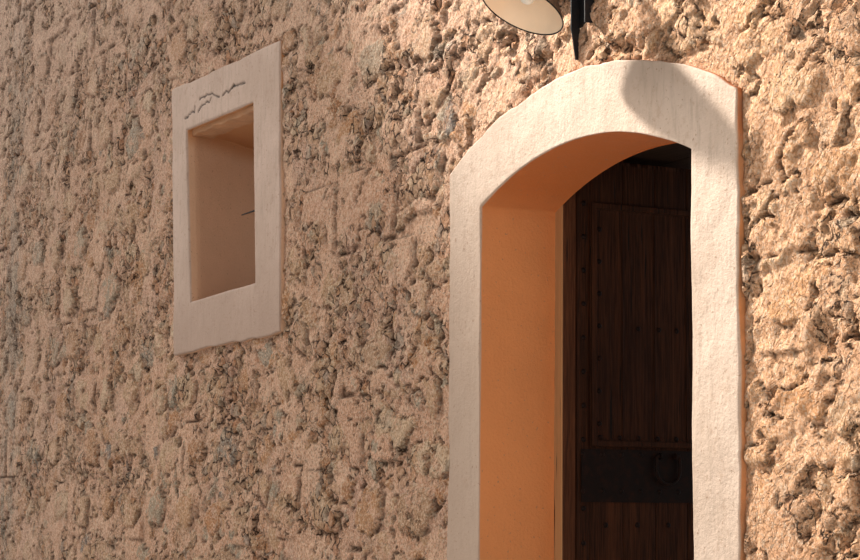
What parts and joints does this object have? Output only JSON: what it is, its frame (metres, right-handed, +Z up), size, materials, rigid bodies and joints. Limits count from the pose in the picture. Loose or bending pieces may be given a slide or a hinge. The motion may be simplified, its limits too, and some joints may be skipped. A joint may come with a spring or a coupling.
{
  "type": "arched doorway in a rubble wall",
  "caption": "Length of rubble wall with a plastered arched doorway, studded double door leaves standing open, a deep small window and a wall lamp.",
  "frame": {"origin": "on the ground under the doorway's centre line, in the middle of the wall's thickness", "axes": "+X along the wall to the right as seen from outside, +Y into the wall towards the inner face, +Z up"},
  "size_m": [8.7, 1.2849, 4.4],
  "materials": {
    "rubble_masonry": "rough rubble in lime mortar",
    "lime_plaster": "smooth lime plaster, weathered",
    "threshold_stone": "worn flagstone",
    "old_timber": "dark, rough sawn",
    "post_timber": "reddish brown, weathered",
    "door_timber": "dark brown, weathered",
    "wrought_iron": "dark, lightly rusted",
    "lamp_iron": "black, matt",
    "enamel": "cream inside, dark outside",
    "bulb_glass": "frosted"
  },
  "bodies": {
    "wall": {"door_pier_left": "rubble_masonry", "door_pier_right": "rubble_masonry", "door_plaster_arch": "lime_plaster", "door_plaster_left": "lime_plaster", "door_plaster_right": "lime_plaster", "frame_post_left": "post_timber", "frame_post_right": "post_timber", "lamp_arm": "lamp_iron", "lamp_bulb": "bulb_glass", "lamp_holder": "lamp_iron", "lamp_shade": "enamel", "lamp_wall_plate": "lamp_iron", "lintel_beam_inner": "old_timber", "lintel_beam_middle": "old_timber", "lintel_beam_outer": "old_timber", "threshold": "threshold_stone", "wall_between": "rubble_masonry", "wall_left_end": "rubble_masonry", "wall_left_of_window": "rubble_masonry", "wall_over_door": "rubble_masonry", "wall_over_window": "rubble_masonry", "wall_right_end": "rubble_masonry", "wall_right_of_window": "rubble_masonry", "wall_under_window": "rubble_masonry", "window_plaster_head": "lime_plaster", "window_plaster_left": "lime_plaster", "window_plaster_right": "lime_plaster", "window_plaster_sill": "lime_plaster", "window_spike": "wrought_iron"},
    "left_leaf": {"left_handle_staple_free_side": "wrought_iron", "left_handle_staple_hinge_side": "wrought_iron", "left_leaf": "door_timber", "left_leaf_frame": "door_timber", "left_leaf_moulding": "door_timber", "left_lock_band": "wrought_iron"},
    "left_handle": {"left_drop_handle": "wrought_iron"},
    "right_leaf": {"right_handle_staple_free_side": "wrought_iron", "right_handle_staple_hinge_side": "wrought_iron", "right_leaf": "door_timber", "right_leaf_frame": "door_timber", "right_leaf_moulding": "door_timber", "right_lock_band": "wrought_iron"},
    "right_handle": {"right_drop_handle": "wrought_iron"}
  },
  "joints": [
    {"name": "left_leaf_hinge", "type": "hinge", "parent": "wall", "child": "left_leaf", "pos_m": [-0.565, -0.114, 0.048], "axis": [0, 0, 1], "range_deg": [-90, 0]},
    {"name": "right_leaf_hinge", "type": "hinge", "parent": "wall", "child": "right_leaf", "pos_m": [0.565, -0.114, 0.048], "axis": [0, 0, 1], "range_deg": [0, 90]},
    {"name": "left_handle_swing", "type": "hinge", "parent": "left_leaf", "child": "left_handle", "pos_m": [-0.533, 0.205, 1.427], "axis": [0, -1, 0], "range_deg": [0, 100]},
    {"name": "right_handle_swing", "type": "hinge", "parent": "right_leaf", "child": "right_handle", "pos_m": [0.533, 0.205, 1.427], "axis": [0, 1, 0], "range_deg": [0, 100]}
  ]
}
